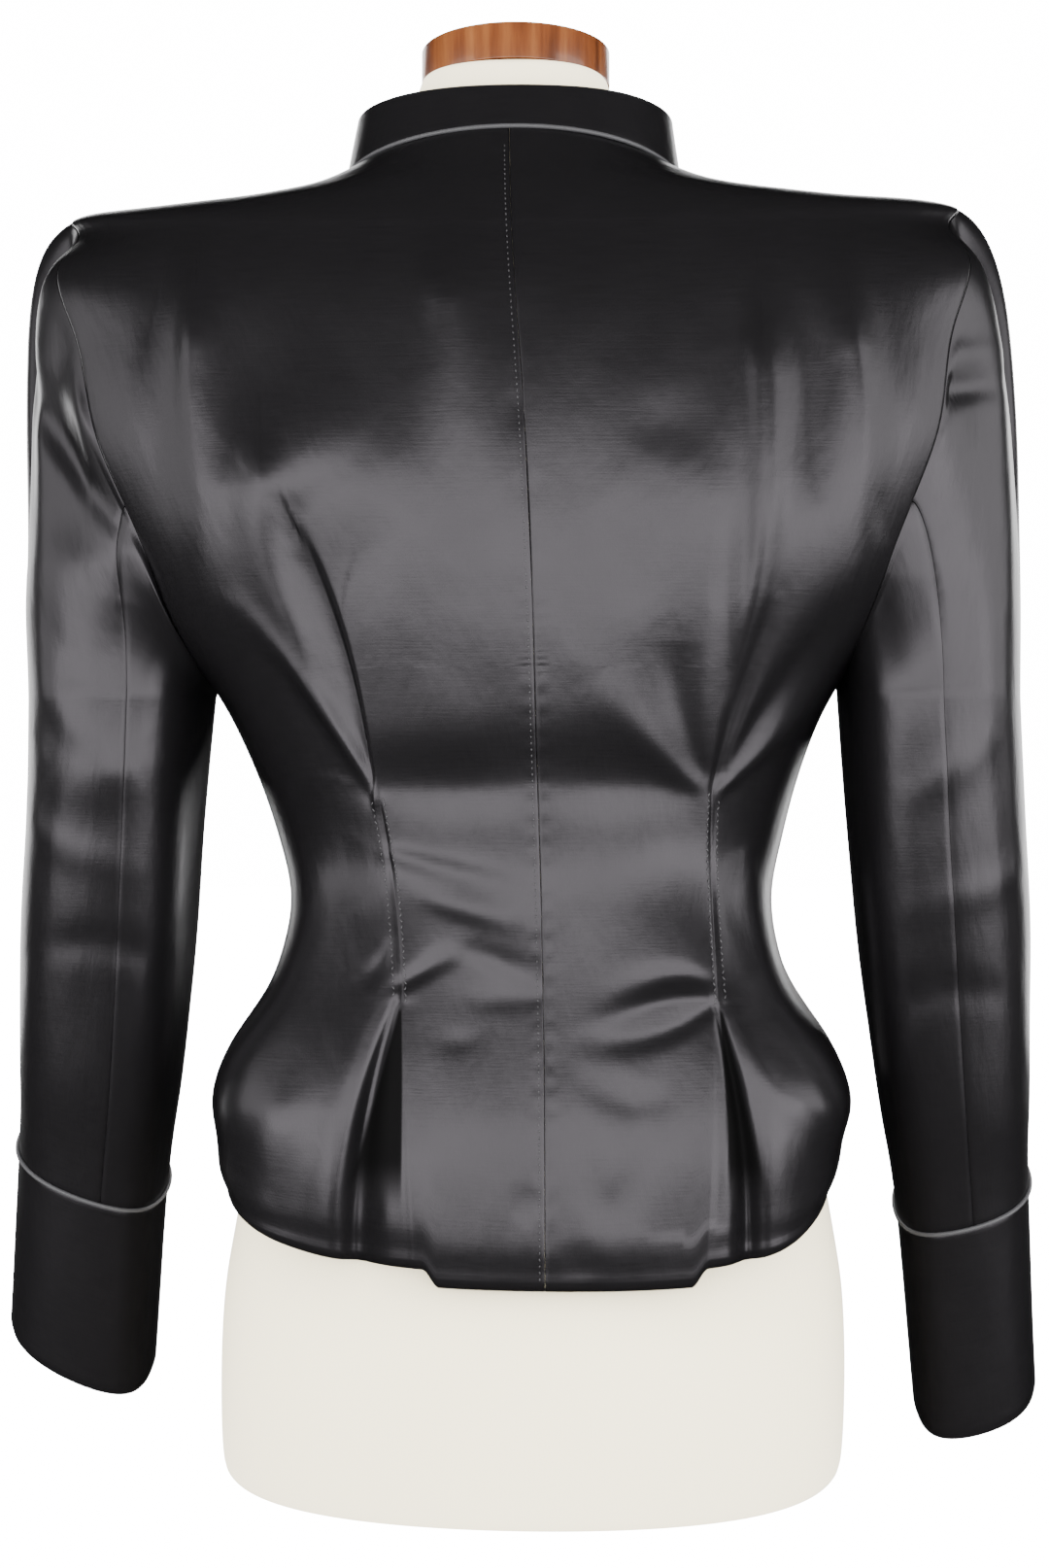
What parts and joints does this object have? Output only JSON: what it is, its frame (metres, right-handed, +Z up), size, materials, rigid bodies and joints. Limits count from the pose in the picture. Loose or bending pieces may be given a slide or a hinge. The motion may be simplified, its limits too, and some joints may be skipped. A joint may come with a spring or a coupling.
{
  "type": "blazer on dress form",
  "caption": "Fitted satin blazer with padded shoulders, stand collar, piped neck and cuff seams and a flared, pleated hem, on a limbless dress form.",
  "frame": {"origin": "centre of the dress form's flat base", "axes": "+Z up; the front of the blazer faces -Y; the wearer's left is +X"},
  "size_m": [0.539, 0.2543, 0.717],
  "materials": {
    "black_satin": "black satin with a soft broad shine",
    "grey_piping": "fine grey satin piping",
    "cream_jersey": "matt cream jersey cover",
    "varnished_wood": "turned wood under clear varnish",
    "black_button": "plain black, polished"
  },
  "bodies": {
    "root": {"back_left": "black_satin", "back_right": "black_satin", "front_left": "black_satin", "front_right": "black_satin", "sleeve_top_left": "black_satin", "sleeve_top_right": "black_satin", "sleeve_under_left": "black_satin", "sleeve_under_right": "black_satin", "cuff_left": "black_satin", "cuff_right": "black_satin", "collar": "black_satin", "cuff_piping_left": "grey_piping", "cuff_piping_right": "grey_piping", "neck_piping": "grey_piping", "button_1": "black_button", "button_2": "black_button", "button_3": "black_button", "button_4": "black_button", "button_5": "black_button", "form_body": "cream_jersey", "neck_cap": "varnished_wood"}
  },
  "joints": []
}
